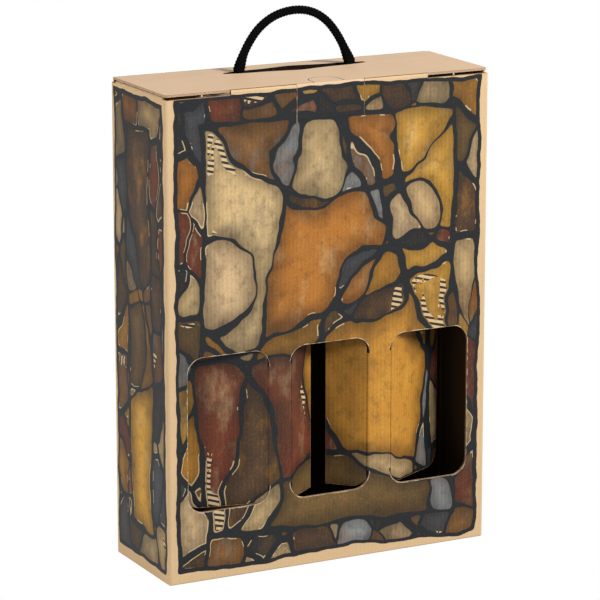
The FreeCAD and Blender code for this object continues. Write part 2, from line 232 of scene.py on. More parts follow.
class Finish:
    """A material put together from nodes."""

    def __init__(self, name):
        self.material = bpy.data.materials.new(name)
        self.material.use_nodes = True
        self.tree = self.material.node_tree
        self.tree.nodes.clear()

    def node(self, kind, settings=None, sockets=None, output=0):
        """Adds a node with its settings and its sockets' values or links, and gives one output."""
        made = self.tree.nodes.new(kind)
        for name, setting in (settings or {}).items():
            if name == "stops":
                set_stops(made.color_ramp, setting)
            else:
                setattr(made, name, setting)
        for name, value in (sockets or {}).items():
            if isinstance(value, Value):
                self.tree.links.new(value.socket, made.inputs[name])
            else:
                made.inputs[name].default_value = value
        return Value(self, made.outputs[output]) if made.outputs else None

    def place(self, output="Object"):
        """Where a point is on the piece, or which way its face looks: x, y and z."""
        whole = self.node("ShaderNodeTexCoord", output=output)
        return self.parts(whole)

    def parts(self, whole):
        return [self.node("ShaderNodeSeparateXYZ", sockets={0: whole}, output=axis) for axis in range(3)]

    def point(self, x, y, z=0.0):
        return self.node("ShaderNodeCombineXYZ", sockets={0: x, 1: y, 2: z})

    def noise(self, at, scale, detail=2.0, roughness=0.5):
        sockets = {"Vector": at, "Scale": scale, "Detail": detail, "Roughness": roughness}
        return self.node("ShaderNodeTexNoise", sockets=sockets)

    def white_noise(self, number):
        return self.node("ShaderNodeTexWhiteNoise", {"noise_dimensions": "1D"}, {"W": number}, "Value")

    def mix(self, share, first, second, blend="MIX"):
        """A colour between two others."""
        settings = {"data_type": "RGBA", "blend_type": blend}
        return self.node("ShaderNodeMix", settings, {0: share, 6: first, 7: second}, output=2)

    def mix_value(self, share, first, second):
        return self.node("ShaderNodeMix", sockets={0: share, 2: first, 3: second})

    def tinted(self, colour, tint):
        """A colour multiplied by another."""
        return self.mix(1.0, colour, tint, "MULTIPLY")

    def grey(self, tone):
        return self.point(tone, tone, tone)

    def flat_stops(self, share, stops):
        """A colour picked from a row of them, with no blend between."""
        return self.node("ShaderNodeValToRGB", {"stops": stops}, {0: share})

    def measured(self, operation, first, second=(0.0, 0.0, 0.0)):
        """A vector operation that gives a number, such as a distance."""
        return self.node("ShaderNodeVectorMath", {"operation": operation}, {0: first, 1: second}, "Value")

    def surface(self, colour, roughness, height, sockets=None):
        """Ends the material: a Principled surface whose relief is a height in metres."""
        relief = self.node("ShaderNodeBump", sockets={"Strength": 1.0, "Distance": 1.0, "Height": height})
        values = {"Base Color": colour, "Roughness": roughness, "Normal": relief, **(sockets or {})}
        shader = self.node("ShaderNodeBsdfPrincipled", sockets=values)
        self.node("ShaderNodeOutputMaterial", sockets={"Surface": shader})
        return self.material


def set_stops(ramp, stops):
    """Gives a colour ramp its stops, places and colours, with no blend between them."""
    ramp.interpolation = "CONSTANT"
    while len(ramp.elements) < len(stops):
        ramp.elements.new(1.0)
    for element, (position, colour) in zip(ramp.elements, stops):
        element.position = position
        element.color = colour


FIBRES_PER_METRE = 420.0
SPECKS_PER_METRE = 1500.0
CLOUDS_PER_METRE = 18.0


def flutes(across):
    """The wave of the fluted sheet across the board, from -1 to 1."""
    return (across * (2 * math.pi / FLUTE_PITCH)).sine()


def paper(finish, across, along, kraft=KRAFT):
    """Bare kraft at a place on the flat sheet: its colour, and its relief in metres."""
    sheet = finish.point(across, along)
    fibres = finish.noise(finish.point(across * 3.2, along), FIBRES_PER_METRE, 3.0, 0.7)
    specks = finish.noise(sheet, SPECKS_PER_METRE, 2.0, 0.6)
    cloud = finish.noise(sheet, CLOUDS_PER_METRE, 2.0)
    flute = flutes(across)
    colour = finish.mix(fibres.eased(0.50, 0.78) * 0.42, kraft, KRAFT_FLECK)
    tone = cloud * 0.14 + specks * 0.10 + flute * 0.016 + 0.880
    colour = finish.tinted(colour, finish.grey(tone))
    height = flute * 0.000014 + fibres * 0.000030 + specks * 0.000010 + cloud * 0.0006
    return colour, height


def region(finish, u, v):
    """The large patches of the print: a number for each patch, and the distance to its contour."""
    at = finish.point(u, v)
    curves = [finish.measured("DISTANCE", at, (x, z, 0.0)) - radius for x, z, radius in DISCS]
    for x, z, tilt in RULES:
        normal = (math.sin(math.radians(tilt)), -math.cos(math.radians(tilt)), 0.0)
        curves.append(finish.measured("DOT_PRODUCT", at, normal) - (x * normal[0] + z * normal[1]))
    number = curves[0].under(0.0)
    distance = abs(curves[0])
    for index, curve in enumerate(curves[1:], start=1):
        number = number + curve.under(0.0) * 2.0 ** index
        distance = distance.soft_least(abs(curve), CONTOUR_MERGE)
    return number, distance


def from_window(finish, across, up):
    """How far outside the outline of the nearest window a place is; inside it is negative."""
    bay = (across / BOTTLE_BAY).math("ROUND") * BOTTLE_BAY
    straight_half = WINDOW_WIDTH / 2 - WINDOW_CORNER
    straight_height = (WINDOW_HIGH - WINDOW_LOW) / 2 - WINDOW_CORNER
    past_x = abs(across - bay) - straight_half
    past_z = abs(up - (WINDOW_HIGH + WINDOW_LOW) / 2) - straight_height
    corner = finish.measured("LENGTH", finish.point(past_x.most(0.0), past_z.most(0.0)))
    return corner + past_x.most(past_z).least(0.0) - WINDOW_CORNER


def at_hinge(across, up):
    """1 on the upright stretches that the window flaps fold on."""
    near = 0.0
    for hinge in HINGES:
        near = abs(across - hinge).under(BOARD + TINY * 2) + near
    return near * (up - WINDOW_LOW).over(WINDOW_CORNER) * (WINDOW_HIGH - up).over(WINDOW_CORNER)


# Width of the pale painted highlight beside the cuts, and its gap from them
RIM_WIDTH = 0.00062
RIM_GAP = 0.00002


def painted_cut_highlight(finish, across, up):
    """1 on the pale painted highlight along the knife's lines: the windows and the tongue's sides."""
    ragged = finish.noise(finish.point(across, up), 160.0, 3.0).eased(0.36, 0.70) * RIM_WIDTH - RIM_GAP
    window = abs(from_window(finish, across, up)).under(ragged) * (1.0 - at_hinge(across, up))
    tongue = abs(abs(across) - TONGUE_HALF - CUT_PLAY / 2).under(ragged * 0.6) * up.over(TONGUE_FOOT)
    return window.most(tongue)


def print_inset(finish, across, up, border, sway, jitter):
    """How far a place is inside the print's uneven outer edge."""
    wave = finish.noise(finish.point(across, 0.5), 15.0) - 0.5
    from_side = border - SIDE_BORDER + sway * SIDE_SWAY
    from_bottom = up - BOTTOM_BORDER - wave * BOTTOM_SWAY
    from_top = TOP - TOP_BORDER - up + wave * TOP_SWAY
    inset = from_side.soft_least(from_bottom, BOTTOM_MERGE).soft_least(from_top, EDGE_MERGE)
    return inset + jitter * EDGE_JITTER


def patches(finish, u, v, inset, slow):
    """Patches, small in a band along the print's edge: a number for each, and how far its contour is."""
    number, distance = region(finish, u, v)
    band_edge = slow * BAND_SWAY + BAND_WIDTH - BAND_SWAY / 2
    in_band = inset.under(band_edge)
    sockets = {"Vector": finish.point(u / (BAND_CELL * 0.82), v / (BAND_CELL * 1.3)), "Scale": 1.0}
    planar = {"voronoi_dimensions": "2D"}
    cell = finish.node("ShaderNodeTexVoronoi", planar, sockets, "Color")
    to_edge = {**planar, "feature": "DISTANCE_TO_EDGE"}
    cell_rim = finish.node("ShaderNodeTexVoronoi", to_edge, sockets)
    band_rim = abs(inset - band_edge)
    cell_distance = (cell_rim * BAND_CELL).soft_least(band_rim, BAND_MERGE)
    distance = finish.mix_value(in_band, distance.soft_least(band_rim, BAND_MERGE), cell_distance)
    pick = finish.mix_value(in_band, finish.white_noise(number + PATCH_SEED), finish.parts(cell)[0])
    return pick, distance.soft_least(inset, EDGE_MERGE)


def painted(finish, across, up, pick, brush, worn):
    """The patches' colours, brushed over one another, stained and worn."""
    stops = [(index / len(PATCH_INKS), ink) for index, ink in enumerate(PATCH_INKS)]
    patch = finish.flat_stops(pick, stops)
    other = finish.flat_stops((pick + 0.31).math("FRACT"), stops)
    patch = finish.mix(brush.eased(0.48, 0.72) * 0.5, patch, other)
    mood = finish.noise(finish.point(across + 0.9, up * 0.8), 12.0, 3.0, 0.6)
    patch = finish.mix(mood.eased(0.44, 0.74) * 0.70, patch, SHADOW_INK)
    stain = finish.noise(finish.point(across * 1.2, up, 0.6), 95.0, 4.0, 0.7)
    patch = finish.mix(stain.eased(0.46, 0.76) * 0.48, patch, SHADOW_INK)
    patch = finish.mix(worn.eased(0.46, 0.80) * 0.38, patch, SHADOW_INK)
    return finish.mix((1.0 - worn).eased(0.52, 0.80) * 0.26, patch, CREAM_INK)


def hatched(finish, patch, across, up, pick, gap, brush, jitter):
    """A patch with dark and cream stripes beside some stretches of its contour."""
    second = finish.white_noise(pick * 91.0)
    slant = finish.mix_value(second.over(0.985), up + across * 0.25, across - up * 0.18)
    stripes = (slant * (2 * math.pi / HATCH_PITCH) + jitter * 2.2).sine().over(0.15)
    share = second.over(0.80) * gap.over(HATCH_NEAR) * gap.under(HATCH_FAR) * brush.over(0.48)
    share = share * finish.noise(finish.point(across, up + 0.7), 13.0, 1.0).over(0.56)
    patch = finish.mix(share * stripes * 0.92, patch, CONTOUR_INK)
    return finish.mix(share * (1.0 - stripes) * 0.8, patch, CREAM_INK)


def print_on(finish, across, up, border, bare):
    """Where the print is and its colour: border is how far a place is inside its panel's sides."""
    sheet = finish.point(across, up)
    sway = finish.noise(sheet, WARP_SCALE) - 0.5
    lift = finish.noise(finish.point(up + 0.37, across - 0.21), WARP_SCALE) - 0.5
    slow = finish.noise(sheet, 9.0)
    jitter = finish.noise(sheet, 74.0) - 0.5
    inset = print_inset(finish, across, up, border, sway, jitter)
    pick, distance = patches(finish, across + sway * WARP, up + lift * WARP, inset, slow)
    brush = finish.noise(finish.point(across * 1.7, up * 0.8, 0.3), 30.0, 4.0, 0.68)
    worn = finish.noise(finish.point(across * 1.2, up * 0.8, 0.8), 620.0, 4.0, 0.75)
    patch = painted(finish, across, up, pick, brush, worn)
    pooled = distance.eased(-0.001, POOL_REACH) * 0.62 + 0.42 + flutes(across) * 0.035
    patch = finish.tinted(patch, finish.grey(pooled))
    thickness = finish.noise(sheet, 19.0).eased(0.26, 0.76) * CONTOUR_SWELL + CONTOUR_THIN
    gap = distance - thickness
    patch = hatched(finish, patch, across, up, pick, gap, brush, jitter)
    halo = gap.over(0.0) * gap.under(HALO_WIDTH) * (slow + jitter * 0.5).over(0.585)
    patch = finish.mix(halo * 0.65, patch, CREAM_INK)
    outline = finish.mix(worn.eased(0.46, 0.80) * 0.30, CONTOUR_INK, WORN_CONTOUR)
    colour = finish.mix(gap.eased(-CONTOUR_EDGE, CONTOUR_EDGE), outline, patch)
    rim = inset.under(slow * RIM_SWAY + RIM_LINE - RIM_SWAY / 2)
    colour = finish.mix(rim, colour, outline)
    colour = finish.mix(0.6, colour, finish.tinted(colour, bare_tone(finish, bare)))
    return inset.eased(-PRINT_EDGE, PRINT_EDGE), colour


def bare_tone(finish, bare):
    """How light the paper is at a place beside plain kraft, as a grey, which shows through the ink."""
    return finish.grey(finish.parts(bare)[0] / KRAFT[0])


PRESSED_WIDTH = 0.0016
PRESSED_DEPTH = 0.00016


def board_surface(finish, sheet, inked, ink_colour, bare, height, inside, cut, painted_inside_shade=MOUTH_PAINTED_SHADE,
                  cut_colour=CUT_PAINTED_SHADE):
    """Bare, printed, inner and cut places of a board joined in one surface: inner places get painted shade,
    cut places get painted shade, and a pale painted highlight runs beside the window and tongue cuts.
    """
    across, up = sheet
    on_front = inked * abs(across).under(SIDE_FACE - TINY)
    rim = painted_cut_highlight(finish, across, up) * on_front
    # Inner places get painted shade
    shaded = finish.mix(inside, bare, finish.tinted(bare, painted_inside_shade))
    colour = finish.mix(inked, shaded, ink_colour)
    # Pale painted highlight beside the cuts
    colour = finish.mix(rim * 0.65, colour, PAINTED_EDGE_HIGHLIGHT)
    # Cut places get painted shade
    colour = finish.mix(cut, colour, cut_colour)
    roughness = inked.between(0.88, 0.60)
    pressed = 1.0 - abs(from_window(finish, across, up)).eased(0.0, PRESSED_WIDTH)
    height = height - pressed * on_front * PRESSED_DEPTH
    return finish.surface(colour, roughness, height, {"Specular IOR Level": 0.3})


# How much of a face's normal is along an axis where it looks that way, and where it looks across it
ALONG = 0.7
ASIDE = 0.5
# Heights inside the box between which its painted shade goes from deep to light
DARK_BELOW = 0.27
LIGHT_ABOVE = 0.40


def carton_finish():
    """The folded blank: printed on the front and the sides, with bare folds, back and inside; painted shade
    darkens the inside, most towards the bottom, and the cut faces.
    """
    finish = Finish("printed_carton_board")
    x, y, z = finish.place()
    facing_x, facing_y, facing_z = finish.place("Normal")
    fold = at_hinge(x, z) * y.under(FRONT_INSIDE)
    side = abs(facing_x).over(ALONG) * abs(x).over(SIDE_FACE - TINY)
    front = (facing_y.under(-ALONG) * y.under(FRONT_FACE + TINY)).most(fold)
    beside = x.math("SIGN") * (y - FRONT_FACE + SIDE_FACE)
    across = finish.mix_value(side, x, beside)
    level = abs(facing_z).over(ALONG)
    along = finish.mix_value(level, z, y)
    bare, height = paper(finish, across, along)
    on_side = (y - FRONT_FACE).least(BACK_FACE - y) + SIDE_BORDER - PRINT_FROM_FOLD
    on_side = on_side.least(TOP - z - BOARD - SIDE_TOP_BORDER + SIDE_BORDER)
    border = finish.mix_value(side, SIDE_FACE - abs(x), on_side)
    inked, colour = print_on(finish, across, z, border, bare)
    within = abs(x).under(SIDE_INSIDE - TINY)
    wall = y.under(FRONT_INSIDE - TINY).most(y.over(BACK_INSIDE + TINY))
    # Cut faces of the walls, and the layers at top and bottom, get painted shade
    cut = wall * abs(facing_y).under(ASIDE) * within * z.over(2 * BOARD)
    layers = (z - LID_UNDERSIDE + BOARD * 1.25).over(0.0).most(z.under(3 * BOARD))
    layers = layers * abs(facing_z).under(ASIDE) * within * abs(y).under(BACK_INSIDE - TINY)
    cut = cut.most(layers) * (1.0 - fold)
    inside = abs(x).under(SIDE_INSIDE + TINY) * abs(y).under(BACK_INSIDE + TINY)
    above = z.over(LID_UNDERSIDE - 2 * BOARD) * facing_z.over(0.3)
    below = z.under(3 * BOARD) * facing_z.under(-ASIDE)
    inside = inside * (1.0 - above.most(below).most(fold))
    # Painted shade inside the box: darker towards the bottom
    painted_inside_shade = finish.mix(z.eased(DARK_BELOW, LIGHT_ABOVE), INSIDE_PAINTED_SHADE, MOUTH_PAINTED_SHADE)
    return board_surface(finish, (across, z), inked * side.most(front), colour, bare, height, inside, cut,
                         painted_inside_shade)


def dress(name, material):
    """Gives a piece of the frame its finish."""
    materials = bpy.data.objects[name].data.materials
    materials.clear()
    materials.append(material)


dress("carton_body", carton_finish())

# Its cut edges show the board's make: two liners, and between them the waves of the fluted sheet
LINER = 0.00028
FLUTED_SHEET = 0.00024
BURR = 0.00004
STEPS_A_FLUTE = 10.0
LINER_SIDES = 6
SHEET_SIDES = 5
SIDE_TO_SIDE = Vector((1, 0, 0))
FRONT_TO_BACK = Vector((0, 1, 0))
UPRIGHT = Vector((0, 0, 1))


class Tree:
    """A Geometry Nodes tree put together from nodes, with named inputs."""

    node = Finish.node
    parts = Finish.parts
    point = Finish.point

    def __init__(self, name):
        self.tree = bpy.data.node_groups.new(name, "GeometryNodeTree")
        self.tree.interface.new_socket("Geometry", in_out="INPUT", socket_type="NodeSocketGeometry")
        self.tree.interface.new_socket("Geometry", in_out="OUTPUT", socket_type="NodeSocketGeometry")
        self.entry = self.tree.nodes.new("NodeGroupInput")
        self.identifiers = {}

    def asks(self, name, kind="NodeSocketFloat"):
        """A named input of the tree."""
        socket = self.tree.interface.new_socket(name, in_out="INPUT", socket_type=kind)
        self.identifiers[name] = socket.identifier
        return Value(self, self.entry.outputs[name])

    def geometry(self):
        return Value(self, self.entry.outputs[0])

    def attribute(self, name, kind):
        return self.node("GeometryNodeInputNamedAttribute", {"data_type": kind}, {"Name": name})

    def vector(self, operation, first, second=None):
        sockets = {0: first} if second is None else {0: first, 1: second}
        return self.node("ShaderNodeVectorMath", {"operation": operation}, sockets)

    def scaled(self, vector, factor):
        return self.node("ShaderNodeVectorMath", {"operation": "SCALE"}, {0: vector, "Scale": factor})

    def moved(self, geometry, offset):
        return self.node("GeometryNodeSetPosition", sockets={"Geometry": geometry, "Offset": offset})

    def swept(self, curve, sides, radius):
        """A bead of a few sides along a curve."""
        ring = self.circle(sides, radius)
        return self.node("GeometryNodeCurveToMesh", sockets={
            "Curve": curve, "Profile Curve": ring, "Fill Caps": True})

    def circle(self, sides, radius):
        sockets = {"Resolution": sides, "Radius": radius}
        return self.node("GeometryNodeCurvePrimitiveCircle", sockets=sockets)

    def stepped(self, curve, step):
        """A curve cut into even steps."""
        return self.node("GeometryNodeResampleCurve", {"mode": "LENGTH"}, {"Curve": curve, "Length": step})

    def labelled(self, geometry, name, value):
        """Keeps a number for each point, under a name."""
        settings = {"data_type": "FLOAT", "domain": "POINT"}
        sockets = {"Geometry": geometry, "Name": name, "Value": value}
        return self.node("GeometryNodeStoreNamedAttribute", settings, sockets)

    def ends(self, pieces, material):
        """Joins the pieces as real geometry with their material, and ends the tree."""
        joined = self.tree.nodes.new("GeometryNodeJoinGeometry")
        for piece in pieces:
            self.tree.links.new(piece.socket, joined.inputs[0])
        real = self.node("GeometryNodeRealizeInstances", sockets={0: Value(self, joined.outputs[0])})
        dressed = self.node("GeometryNodeSetMaterial", sockets={"Geometry": real, "Material": material})
        leave = self.tree.nodes.new("NodeGroupOutput")
        self.tree.links.new(dressed.socket, leave.inputs[0])

    def applied(self, name, source, inputs):
        """Runs the tree on a mesh and gives the result as a plain mesh object."""
        carrier = bpy.data.objects.new(name, source)
        bpy.context.collection.objects.link(carrier)
        modifier = carrier.modifiers.new("made", "NODES")
        modifier.node_group = self.tree
        for key, value in inputs.items():
            modifier[self.identifiers[key]] = value
        seen = bpy.context.evaluated_depsgraph_get()
        made = bpy.data.meshes.new_from_object(carrier.evaluated_get(seen), depsgraph=seen)
        carrier.modifiers.remove(modifier)
        carrier.data = made
        made.name = name
        return carrier


def fluted_edge_tree():
    """Two liners and a wavy sheet between them, along the middle line of each cut edge."""
    tree = Tree("fluted cut edge")
    pitch = tree.asks("Flute pitch")
    board = tree.asks("Board")
    liner = tree.asks("Liner")
    sheet = tree.asks("Fluted sheet")
    burr = tree.asks("Burr")
    material = tree.asks("Material", "NodeSocketMaterial")
    curve = tree.node("GeometryNodeMeshToCurve", sockets={0: tree.geometry()})
    through = tree.attribute("through", "FLOAT_VECTOR")
    phase = tree.attribute("phase", "FLOAT")
    inner = board * 0.5 - liner * 0.5
    beads = []
    for away in (inner, (inner + burr) * -1.0):
        beads.append(tree.swept(tree.moved(curve, tree.scaled(through, away)), LINER_SIDES, liner * 0.5))
    fine = tree.stepped(curve, pitch / STEPS_A_FLUTE)
    swing = phase.sine() * (board * 0.5 - liner - sheet * 0.5)
    beads.append(tree.swept(tree.moved(fine, tree.scaled(through, swing)), SHEET_SIDES, sheet * 0.5))
    tree.ends(beads, material)
    return tree


def rounded_path(corners, radius, steps=9):
    """A path through the corners, with each corner between its ends rounded."""
    corners = [Vector(corner) for corner in corners]
    points = [corners[0]]
    for before, corner, after in zip(corners, corners[1:], corners[2:]):
        back = (before - corner).normalized()
        ahead = (after - corner).normalized()
        half = back.angle(ahead) / 2
        reach = radius / math.tan(half)
        centre = corner + (back + ahead).normalized() * (radius / math.sin(half))
        first = corner + back * reach - centre
        last = corner + ahead * reach - centre
        for step in range(steps + 1):
            point = centre + first.lerp(last, step / steps).normalized() * radius
            if (point - points[-1]).length > TINY:
                points.append(point)
    if (corners[-1] - points[-1]).length > TINY:
        points.append(corners[-1])
    return points


def edge_lines(name, paths):
    """The middle lines of cut edges, as a mesh of edges that knows the way through the board."""
    points = []
    links = []
    through = []
    phase = []
    for line, way_through, flutes in paths:
        first = len(points)
        for point in line:
            points.append(tuple(point))
            through += list(way_through)
            phase.append(Vector(point).dot(flutes) * 2 * math.pi / FLUTE_PITCH)
        links += [(index, index + 1) for index in range(first, len(points) - 1)]
    mesh = bpy.data.meshes.new(name)
    mesh.from_pydata(points, links, [])
    mesh.attributes.new("through", "FLOAT_VECTOR", "POINT").data.foreach_set("vector", through)
    mesh.attributes.new("phase", "FLOAT", "POINT").data.foreach_set("value", phase)
    return mesh


def edge_finish():
    """Torn kraft fibres at a cut, dark and pale."""
    finish = Finish("cut_board_edge")
    spot = finish.point(*finish.place())
    fibres = finish.noise(spot, 1900.0, 3.0, 0.7)
    cloud = finish.noise(spot, 60.0, 2.0)
    pale = finish.mix(fibres.eased(0.40, 0.72), TORN_DARK, TORN_PALE)
    colour = finish.mix(cloud.eased(0.50, 0.80) * 0.5, pale, KRAFT_FLECK)
    return finish.surface(colour, 0.92, fibres * 0.00005)


fluted_edge = fluted_edge_tree()
cut_edge = edge_finish()


def fluted_edges(name, body, paths):
    """Makes one body's cut edges, from their points, the way through the board and across the flutes."""
    piece = fluted_edge.applied(name, edge_lines(name + "_lines", paths), {
        "Flute pitch": FLUTE_PITCH, "Board": BOARD, "Liner": LINER, "Fluted sheet": FLUTED_SHEET,
        "Burr": BURR, "Material": cut_edge})
    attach(piece, body)


LAYER_GAP = 0.00035
SLIT_LENGTH = 0.053
CORNER_RADIUS = 0.0024
FRONT_MIDDLE = FRONT_FACE + BOARD / 2
BACK_MIDDLE = BACK_FACE - BOARD / 2
DUST_MIDDLE = LID_UNDERSIDE - LAYER_GAP - BOARD / 2
SLIT_TOP = LID_UNDERSIDE - LAYER_GAP - BOARD
BACK_EDGE = TOP - 0.0006
DUST_LENGTH = 0.058
DUST_CORNER = 0.008
DUST_FRONT = FRONT_INSIDE + 0.003
DUST_BACK = BACK_INSIDE - 0.0066
DUST_SLANT = 0.006


def window_edges():
    """The cut outline of each window, without the sides that its flaps fold on."""
    paths = []
    for low_x, high_x in WINDOW_SIDES:
        start = WINDOW_LOW + WINDOW_CORNER
        end = WINDOW_HIGH - WINDOW_CORNER
        bottom = [(low_x, start), (low_x, WINDOW_LOW), (high_x, WINDOW_LOW), (high_x, start)]
        top = [(high_x, end), (high_x, WINDOW_HIGH), (low_x, WINDOW_HIGH), (low_x, end)]
        if low_x in HINGES and high_x in HINGES:
            outlines = [bottom, top]
        elif high_x in HINGES:
            outlines = [top[:3] + bottom[1:]]
        else:
            outlines = [bottom[:3] + top[1:]]
        for outline in outlines:
            corners = [(x, FRONT_MIDDLE, z) for x, z in outline]
            paths.append((rounded_path(corners, WINDOW_CORNER), FRONT_TO_BACK, SIDE_TO_SIDE))
    return paths


def dust_flap_edges():
    """The three cut sides of each dust flap, under the lid."""
    paths = []
    for side in (-1, 1):
        fold = side * SIDE_INSIDE
        tip = side * (SIDE_INSIDE - DUST_LENGTH)
        outline = ((fold, DUST_FRONT), (tip, DUST_FRONT + DUST_SLANT), (tip, DUST_BACK), (fold, DUST_BACK))
        corners = [(x, y, DUST_MIDDLE) for x, y in outline]
        paths.append((rounded_path(corners, DUST_CORNER), -UPRIGHT, FRONT_TO_BACK))
    return paths


body_paths = window_edges() + dust_flap_edges()
reach = SIDE_FACE - CORNER_RADIUS
back_edge = [(-reach, BACK_MIDDLE, BACK_EDGE), (reach, BACK_MIDDLE, BACK_EDGE)]
body_paths.append((back_edge, -FRONT_TO_BACK, SIDE_TO_SIDE))
for side in (-1, 1):
    slit = [(side * x, FRONT_MIDDLE, SLIT_TOP) for x in (SIDE_FACE - SLIT_LENGTH, reach)]
    body_paths.append((slit, FRONT_TO_BACK, SIDE_TO_SIDE))
fluted_edges("carton_cut_edges", "carton", body_paths)

# Window flaps
# Each window is die-cut on three sides and its flap is pushed in about the fourth, so that the necks of the
# bottles show. The middle window's flap is cut down its middle into two. The print of the front runs on
# over the flaps, which lie back at angles of their own.
# For each: its name, its body, where its fold is, the fold's side, its share of the window, and its angle
FLAPS = (
    ("window_flap_left", "left_flap", -0.051, 1, 1.0, 12.0),
    ("window_flap_middle_left", "middle_left_flap", -0.034, -1, 0.5, 37.0),
    ("window_flap_middle_right", "middle_right_flap", 0.034, 1, 0.5, 45.0),
    ("window_flap_right", "right_flap", 0.051, -1, 1.0, 29.0),
)
KNUCKLE_START = 0.00136


def flap_finish(name, hinge, side, angle):
    """A window flap, printed on the face that was the front's before it was pushed in, with painted shade
    on its back and its cut faces.
    """
    finish = Finish(name + "_board")
    x, y, z = finish.place()
    turn = math.radians(side * angle)
    across = (x - hinge) * math.cos(turn) - (y - FRONT_INSIDE) * math.sin(turn) + hinge
    facing_x, facing_y = finish.place("Normal")[:2]
    facing = facing_x * math.sin(turn) + facing_y * math.cos(turn)
    bare, height = paper(finish, across, z)
    inked, colour = print_on(finish, across, z, SIDE_FACE - abs(across), bare)
    knuckle = abs(across - hinge).under(KNUCKLE_START + TINY)
    outer = facing.under(knuckle.between(-ALONG, 0.6))
    # Cut faces get painted shade, and the back a deep painted shade
    cut = abs(facing).under(ALONG) * (1.0 - knuckle)
    return board_surface(finish, (across, z), inked * outer, colour, bare, height, facing.over(ALONG), cut,
                         INSIDE_PAINTED_SHADE)


def flap_edges(hinge, side, share, angle):
    """The flap's cut outline, laid flat and then turned about its fold."""
    near = hinge - side * CUT_PLAY
    far = hinge - side * (WINDOW_WIDTH * share - CUT_PLAY)
    low = WINDOW_LOW + CUT_PLAY
    high = WINDOW_HIGH - CUT_PLAY
    bottom = [(near, low + WINDOW_CORNER), (near, low), (far, low)]
    top = [(far, high), (near, high), (near, high - WINDOW_CORNER)]
    outline = []
    for stretch in ([bottom + top] if share == 1.0 else [bottom, top]):
        outline += rounded_path([(x, FRONT_MIDDLE, z) for x, z in stretch], WINDOW_CORNER)
    outline = [point for point in outline if abs(point.x - hinge) > KNUCKLE_START]
    fold = Vector((hinge, FRONT_INSIDE, 0))
    turned = Matrix.Rotation(math.radians(-side * angle), 3, "Z")
    outline = [fold + turned @ (point - fold) for point in outline]
    return [(outline, turned @ FRONT_TO_BACK, turned @ SIDE_TO_SIDE)]


for name, body, hinge, side, share, angle in FLAPS:
    dress(name, flap_finish(name, hinge, side, angle))
    fluted_edges(name + "_cut_edges", body, flap_edges(hinge, side, share, angle))

# Lid
# The top of the blank, bare kraft, folded back from the front's top edge and tucked inside the back. Its
# long slot is sprung apart by the handle, and the tongue's nose lies in a cut of its own.
LID_SIDE = SIDE_FACE - 0.0008
LID_FRONT = FRONT_FACE + 0.0012
LID_CORNER = 0.003
LID_MIDDLE = TOP - BOARD / 2
TUCK_FOLD = BACK_INSIDE - CUT_PLAY - BOARD
TUCK_START = 0.001
TUCK_LENGTH = 0.028
TUCK_LEAN = 12.0
TUCK_SIDE = SIDE_INSIDE - 0.004
TUCK_CORNER = 0.014
NOSE_HALF = 0.012
NOSE_LENGTH = 0.020
HANDLE_OFFSET = 0.005
SLOT_LINE = 0.0205
SLOT_MOUTH = 0.0105
SLOT_TAPER = 0.13
SLOT_LIFT = 0.0005
SLOT_LIFT_WIDTH = 0.010
# Widths of the painted shade in the slot and of the painted shadow line at the nose
SLOT_SHADE_WIDTH = 0.003
NOSE_SHADE = 0.0005
NOSE_DENT = 0.0003
NOSE_DENT_WIDTH = 0.0018


def lid_finish():
    """Bare kraft whose flutes run back from the fold, with painted shadow lines at the nose's cut and the
    tongue's shoulders, painted shade on its cut faces and in the slot, and a light painted shade
    underneath.
    """
    finish = Finish("bare_kraft_board")
    x, y, z = finish.place()
    facing_z = finish.place("Normal")[2]
    bare, height = paper(finish, x, y + z, LID_KRAFT)
    inside = facing_z.under(-ALONG)
    upright = abs(facing_z).under(ASIDE) * z.over(LID_UNDERSIDE - TINY)
    fold = y.over(TUCK_FOLD - TINY) * abs(x).under(LID_SIDE - TINY)
    cut = upright * (1.0 - fold)
    across_slot = abs(y - SLOT_LINE) - SLOT_MOUTH + abs(x - HANDLE_OFFSET) * SLOT_TAPER
    lifted = 1.0 - across_slot.eased(0.0, SLOT_LIFT_WIDTH)
    past_round = (y - FRONT_INSIDE - NOSE_LENGTH + NOSE_HALF).most(0.0)
    nose = finish.measured("DISTANCE", finish.point(x, past_round))
    pressed = 1.0 - abs(nose - NOSE_HALF - CUT_PLAY).eased(0.0, NOSE_DENT_WIDTH)
    height = height + lifted * SLOT_LIFT - pressed * NOSE_DENT
    # Painted shadow lines along the nose's cut and the tongue's shoulders
    round_nose = (nose - NOSE_HALF - CUT_PLAY).under(NOSE_SHADE) * abs(x).under(NOSE_HALF * 1.2)
    shoulder = (y - FRONT_INSIDE - CUT_PLAY).under(NOSE_SHADE) * abs(x).under(TONGUE_HALF)
    bare = finish.mix(round_nose.most(shoulder) * 0.9, bare, CUT_PAINTED_SHADE)
    # Cut faces get a light painted shade, and near-black painted shade in the slot
    cut_colour = finish.mix(0.30, bare, CUT_PAINTED_SHADE)
    cut_colour = finish.mix(across_slot.under(SLOT_SHADE_WIDTH), cut_colour, SLOT_PAINTED_SHADE)
    far_from_windows = (x + 1.0, z)
    not_inked = x * 0.0
    return board_surface(finish, far_from_windows, not_inked, bare, bare, height, inside, cut,
                         cut_colour=cut_colour)


